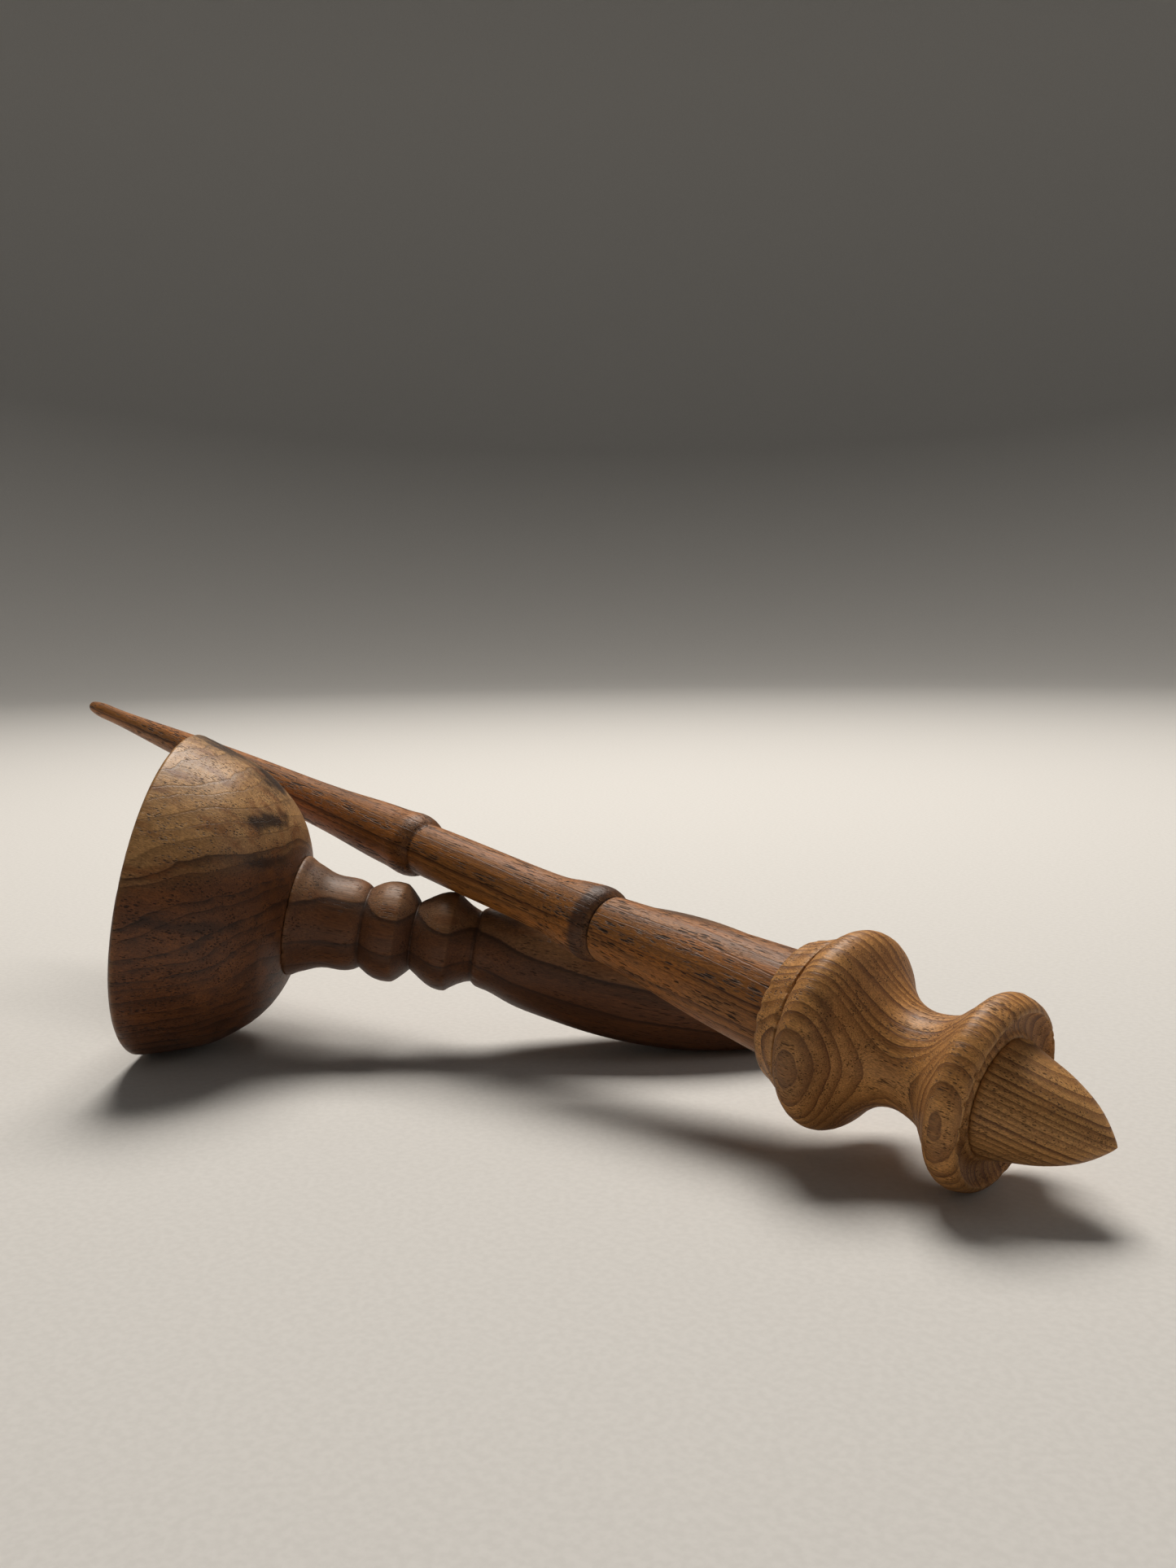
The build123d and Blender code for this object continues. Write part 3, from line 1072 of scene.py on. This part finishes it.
@dataclass
class Spindle:
    """The spindle: a pointed nose, a double-flanged whorl and a stepped shaft. Sizes in millimetres.

    Distances run from the point of the nose to the far tip.
    """

    length: float = 290.0
    nose_seat: float = 18.6
    nose_radius: float = 9.8
    flange_radius: float = 15.95
    flange_at: float = 21.4
    neck_radius: float = 8.4
    neck_at: float = 34.0
    shoulder_radius: float = 17.1
    shoulder_at: float = 46.75
    collar_end: float = 57.0
    collar_radius: float = 11.5
    shaft_radius: float = 9.7
    lower_ring_at: float = 100.4
    lower_ring_radius: float = 6.3
    upper_ring_at: float = 152.6
    upper_ring_radius: float = 5.4
    tip_radius: float = 1.45
    shaft_tenon: float = 4.0
    shaft_tenon_end: float = 27.0
    nose_tenon: float = 3.5
    nose_tenon_end: float = 26.0

    def nose(self) -> Section:
        """The nose, point first, with its tenon."""
        r, s, t = self.nose_radius, self.nose_seat, self.nose_tenon
        belly = ((0.02, 0.06), (0.108, 0.24), (0.215, 0.416), (0.323, 0.549), (0.43, 0.652), (0.54, 0.741),
                 (0.65, 0.811), (0.75, 0.867), (0.86, 0.934), (0.94, 0.99))
        return section([
            [(0.0, 0.0), (0.02 * s, 0.06 * r)],
            [(a * s, b * r) for a, b in belly],
            [(0.94 * s, 0.99 * r), (0.975 * s, r), (s, 0.985 * r)],
            *straights([(s, 0.985 * r), (s, t), (self.nose_tenon_end, t), (self.nose_tenon_end, 0.0)]),
        ], closed=False, coarse=0.4)

    def whorl(self) -> Section:
        """The whorl, from the seat of the nose to the collar and back down its bore."""
        f, h, n, c = self.flange_radius, self.shoulder_radius, self.neck_radius, self.collar_radius
        fa, na, ha, e = self.flange_at, self.neck_at, self.shoulder_at, self.collar_end
        s, lip = self.nose_seat, self.flange_at - 3.9
        base = self.nose_radius + 0.15
        bore, bore_end, small = self.shaft_tenon, self.shaft_tenon_end, self.nose_tenon
        return section([
            [(s, base), (s + 0.75, base + 0.95), (s + 0.35, f - 3.0), (lip, f - 1.9)],
            [(lip, f - 1.9), (lip + 0.35, f - 1.15), (fa - 2.1, f - 0.3), (fa, f), (fa + 1.6, f - 0.75),
             (fa + 2.7, f - 2.1), (fa + 4.6, f - 4.15), (fa + 6.6, n + 1.5), (fa + 9.0, n + 0.5), (na, n),
             (na + 2.2, n + 0.4), (na + 4.0, n + 1.2), (na + 6.0, n + 2.75), (na + 8.0, n + 4.85),
             (ha - 2.5, h - 1.15), (ha, h), (ha + 1.9, h - 0.3), (ha + 3.3, h - 1.25), (ha + 4.2, h - 2.3)],
            *straights([(ha + 4.2, h - 2.3), (ha + 4.45, h - 3.6), (ha + 5.0, h - 2.9)]),
            [(ha + 5.0, h - 2.9), (ha + 6.3, c + 2.25), (e - 2.0, c + 1.35), (e - 0.45, c + 0.75),
             (e, c + 0.2)],
            *straights([(e, c + 0.2), (e, bore), (bore_end, bore), (bore_end, small), (s, small), (s, base)]),
        ], closed=True, round_over=0.09, coarse=0.45)

    def shaft(self) -> Section:
        """The shaft, from its tenon to the rounded far tip."""
        a, ar, b, br = self.lower_ring_at, self.lower_ring_radius, self.upper_ring_at, self.upper_ring_radius
        c, cr, e, t, n = self.collar_end, self.shaft_radius, self.length, self.tip_radius, self.shaft_tenon
        drop = cr - ar
        taper = ((0.22, 0.18), (0.45, 0.39), (0.72, 0.73))
        return section([
            *straights([(self.shaft_tenon_end, 0.0), (self.shaft_tenon_end, n), (c, n), (c, cr)]),
            [(c, cr)] + [(c + u * (a - c), cr - v * drop) for u, v in taper] + [(a - 0.6, ar + 0.05)],
            [(a - 0.6, ar + 0.05), (a - 0.15, ar - 0.12), (a, ar - 0.5)],
            [(a, ar - 0.5), (a + 0.35, ar + 0.12), (a + 1.6, ar + 0.88), (a + 3.2, ar + 1.08),
             (a + 5.6, ar + 0.87), (a + 9.0, ar + 0.4), (a + 12.5, ar - 0.2), (a + 17.0, ar - 0.52),
             (a + 26.0, ar - 0.66), (0.5 * (a + 26.0 + b), 0.5 * (ar - 0.66 + br) + 0.05), (b - 0.5, br)],
            [(b - 0.5, br), (b, br - 0.15), (b + 0.9, br + 0.4), (b + 2.4, br + 1.1), (b + 4.2, br + 1.35),
             (b + 7.0, br + 1.12), (b + 12.0, br + 0.85), (b + 18.0, br + 0.55), (b + 26.0, br),
             (b + 36.0, br - 0.5), (b + 56.0, br - 0.95),
             (0.5 * (b + 56.0 + e), 0.5 * (br - 0.95 + t) + 0.2), (e - 22.0, t + 0.85),
             (e - 10.0, t + 0.5), (e - 3.5, t + 0.3), (e - 1.4, t)],
            [(e - 1.4, t), (e - 0.45, 0.72 * t), (e, 0.0)],
        ], closed=False, round_over=0.09)

    def build(self, place: Matrix, effects: Effects) -> None:
        """Turn, dress and place the nose, the whorl and the shaft.

        Args:
            place: where the spindle's own frame goes.
            effects: the shared node groups.
        """
        nose = HandWork(11, out_of_round=0.03, tool_marks=0.008, mark_pitch=0.9, chips=0.15)
        whorl = HandWork(23, mark_pitch=1.2, chips=0.45, chip_cut=0.45)
        shaft = HandWork(37, tool_marks=0.014, mark_pitch=1.3, chips=0.5, chip_cut=0.4)
        for plan in (
            Plan("nose", self.nose(), nose, 176, NOSE_WOOD),
            Plan("whorl", self.whorl(), whorl, 240, WHORL_WOOD),
            Plan("shaft", self.shaft(), shaft, 144, SHAFT_WOOD),
        ):
            put(plan, place, "spindle", effects)


@dataclass
class Bowl:
    """The spinning bowl: a round-bottomed cup on a beaded stem that swells into a grip. Sizes in millimetres.

    Distances run from the rim to the butt of the handle.
    """

    rim_radius: float = 33.5
    cup_depth: float = 27.4
    inside_depth: float = 19.6
    wall: float = 3.5
    stem_shoulder: float = 12.7
    stem_radius: float = 9.55
    bead_radius: float = 10.25
    grip_radius: float = 13.95
    grip_at: float = 101.2
    length: float = 134.0
    tenon: float = 5.2
    tenon_length: float = 5.7

    def cup(self) -> Section:
        """The cup, from the bottom of its inside over the lip to the stem."""
        r, d, k = self.rim_radius, self.cup_depth, self.stem_shoulder
        q, i, w = r - self.wall, self.inside_depth, r - k
        inner = ((1.0, 0.0), (0.985, 0.2), (0.965, 0.38), (0.91, 0.57), (0.8, 0.735), (0.63, 0.84),
                 (0.42, 0.92), (0.2, 0.972))
        outer = ((0.2, 0.072), (0.36, 0.144), (0.53, 0.233), (0.68, 0.368), (0.79, 0.493), (0.85, 0.584),
                 (0.91, 0.702), (0.962, 0.856))
        socket = d - self.tenon_length
        return section([
            [(i * a, q * b) for a, b in inner] + [(0.9, q + 0.15)],
            [(0.9, q + 0.15), (0.0, 0.5 * (q + r)), (0.9, r - 0.15)],
            [(0.9, r - 0.15)] + [(a * d, r - b * w) for a, b in outer] + [(d, k)],
            *straights([(d, k), (d, self.tenon), (socket, self.tenon), (socket, 0.0)]),
        ], closed=False, round_over=0.22)

    def handle(self) -> Section:
        """The handle, from its tenon along stem and beads to the butt."""
        d, s, b, g = self.cup_depth, self.stem_radius, self.bead_radius, self.grip_radius
        ga, e, k, t = self.grip_at, self.length, self.stem_shoulder, self.tenon
        top = d - self.tenon_length
        return section([
            *straights([(top, 0.0), (top, t), (d, t), (d, k - 0.35)]),
            [(d, k - 0.35), (d + 0.35, k - 0.3), (d + 1.45, s + 2.3), (d + 3.6, s + 1.3), (d + 5.45, s + 0.5),
             (d + 7.85, s), (d + 10.55, s), (d + 12.8, s - 0.4), (d + 14.45, s - 1.35)],
            [(d + 14.45, s - 1.35), (d + 15.5, b - 1.35), (d + 16.95, b - 0.55), (d + 18.8, b - 0.05),
             (d + 20.45, b), (d + 21.6, b - 0.2)],
            [(d + 21.6, b - 0.2), (d + 23.35, b - 1.8), (d + 24.7, b - 3.35)],
            [(d + 24.7, b - 3.35), (d + 26.0, b - 2.5), (d + 27.6, b - 1.45), (d + 29.35, b - 0.55),
             (d + 31.0, b - 0.15), (d + 32.45, b - 0.2)],
            [(d + 32.45, b - 0.2), (d + 34.3, b - 1.6), (d + 36.15, b - 2.6), (d + 37.5, b - 3.05)],
            [(d + 37.5, b - 3.05), (d + 38.2, b - 2.4), (d + 40.3, b - 1.8), (d + 45.4, b - 0.1),
             (d + 52.7, g - 2.15), (d + 62.0, g - 0.7), (ga, g), (ga + 9.3, g - 0.5), (ga + 16.6, g - 1.7),
             (ga + 22.8, g - 3.15), (e - 5.0, g - 4.95), (e - 1.6, g - 8.4), (e, 0.0)],
        ], closed=False)

    def build(self, place: Matrix, effects: Effects) -> None:
        """Turn, dress and place the cup and the handle.

        Args:
            place: where the bowl's own frame goes.
            effects: the shared node groups.
        """
        cup = HandWork(53, out_of_round=0.06, mark_pitch=1.6, chips=0.35, chip_cut=0.7)
        handle = HandWork(67, mark_pitch=1.5, chips=0.35, chip_cut=0.6)
        for plan in (
            Plan("cup", self.cup(), cup, 300, CUP_WOOD),
            Plan("handle", self.handle(), handle, 168, HANDLE_WOOD),
        ):
            put(plan, place, "bowl", effects)


# ---------------------------------------------------------------- the studio


@dataclass(frozen=True)
class SoftBox:
    """A square area light: its place and size in metres, its power in watts and its colour."""

    name: str
    place: tuple[float, float, float]
    size: float
    power: float
    colour: Colour

    def hang(self) -> None:
        """Hang the light, turned to the object."""
        lamp = bpy.data.lights.new(self.name, "AREA")
        lamp.shape = "SQUARE"
        lamp.size = self.size
        lamp.energy = self.power
        lamp.color = self.colour
        made = bpy.data.objects.new(self.name, lamp)
        made.location = self.place
        made.rotation_euler = (LIGHT_AIM - Vector(self.place)).to_track_quat("-Z", "Y").to_euler()
        bpy.context.scene.collection.objects.link(made)


LIGHT_AIM = Vector((0.0, 0.0, 0.02))
LIGHTS = (
    SoftBox("key_box", (-0.32, 0.42, 1.05), 0.62, 16.0, (1.0, 0.94, 0.865)),
    SoftBox("side_box", (0.9, 0.5, 0.55), 0.4, 0.7, (1.0, 0.97, 0.94)),
)
AIR_COLOUR = (0.93, 0.96, 1.0)
AIR_STRENGTH = 0.06
PAPER = ((0.62, 0.61, 0.59), (0.66, 0.65, 0.63))


@dataclass
class Studio:
    """A pale round cove, soft lights and the camera. Sizes in metres."""

    flat: float = 1.3
    bend: float = 0.9
    height: float = 2.6
    steps: int = 96
    bend_rings: int = 16

    def cove(self) -> None:
        """Make a floor that sweeps up into a round wall."""
        rings = [(0.35 * self.flat, 0.0), (self.flat, 0.0)]
        for bend in np.linspace(0.0, math.pi / 2, self.bend_rings + 1)[1:]:
            rings.append((self.flat + self.bend * math.sin(bend), self.bend * (1 - math.cos(bend))))
        rings.append((self.flat + self.bend, self.height))
        angles = np.linspace(0, 2 * math.pi, self.steps, endpoint=False)
        verts = [(0.0, 0.0, 0.0)]
        for radius, z in rings:
            verts += [(radius * math.cos(a), radius * math.sin(a), z) for a in angles]
        sides = [(i, (i + 1) % self.steps) for i in range(self.steps)]
        faces = [(0, 1 + i, 1 + j) for i, j in sides]
        for row in range(len(rings) - 1):
            a, b = 1 + row * self.steps, 1 + (row + 1) * self.steps
            faces += [(a + i, b + i, b + j, a + j) for i, j in sides]
        mesh = bpy.data.meshes.new("studio_cove")
        mesh.from_pydata(verts, [], faces)
        mesh.polygons.foreach_set("use_smooth", [True] * len(mesh.polygons))
        mesh.materials.append(self.paper())
        cove = bpy.data.objects.new("studio_cove", mesh)
        bpy.context.scene.collection.objects.link(cove)

    @staticmethod
    def paper() -> bpy.types.Material:
        """Matt pale paper.

        Returns:
            The material.
        """
        material = bpy.data.materials.new("studio_paper")
        material.use_nodes = True
        g = Graph(material.node_tree)
        shader = material.node_tree.nodes["Principled BSDF"]
        grain = g.noise(g.node("TexCoord").outputs["Object"], (0.0012, 0.0012), 3.0)
        g.feed(shader.inputs["Base Color"], g.mix(g.rise(grain, 0.3, 0.7), *PAPER))
        shader.inputs["Roughness"].default_value = 0.85
        return material

    @staticmethod
    def air() -> None:
        """Fill the room with a little even light."""
        world = bpy.data.worlds.new("studio_air")
        world.use_nodes = True
        background = world.node_tree.nodes["Background"]
        background.inputs[0].default_value = (*AIR_COLOUR, 1.0)
        background.inputs[1].default_value = AIR_STRENGTH
        bpy.context.scene.world = world

    @staticmethod
    def camera() -> None:
        """Set up the camera."""
        lens = bpy.data.cameras.new("view_camera")
        lens.lens = CAMERA_LENS
        lens.sensor_width = CAMERA_SENSOR
        lens.clip_start = 0.01
        lens.clip_end = 20.0
        made = bpy.data.objects.new("view_camera", lens)
        made.location = CAMERA_PLACE
        made.rotation_euler = tuple(math.radians(a) for a in CAMERA_TURN)
        bpy.context.scene.collection.objects.link(made)
        bpy.context.scene.camera = made


def main() -> None:
    """Build the studio, the bowl and the spindle."""
    logging.basicConfig(level=logging.INFO, format="%(message)s")
    bpy.context.scene.view_settings.view_transform = "Standard"
    studio = Studio()
    studio.cove()
    for light in LIGHTS:
        light.hang()
    studio.air()
    studio.camera()
    effects = Effects.build()
    joint = frame["joints"][0]
    spindle_place = outward_frame(Vector(joint["pos_m"]), Vector(joint["axis"]))
    Bowl().build(outward_frame(Vector(BOWL_ORIGIN), Vector(BOWL_AXIS)), effects)
    Spindle().build(spindle_place, effects)


if __name__ == "__main__":
    main()
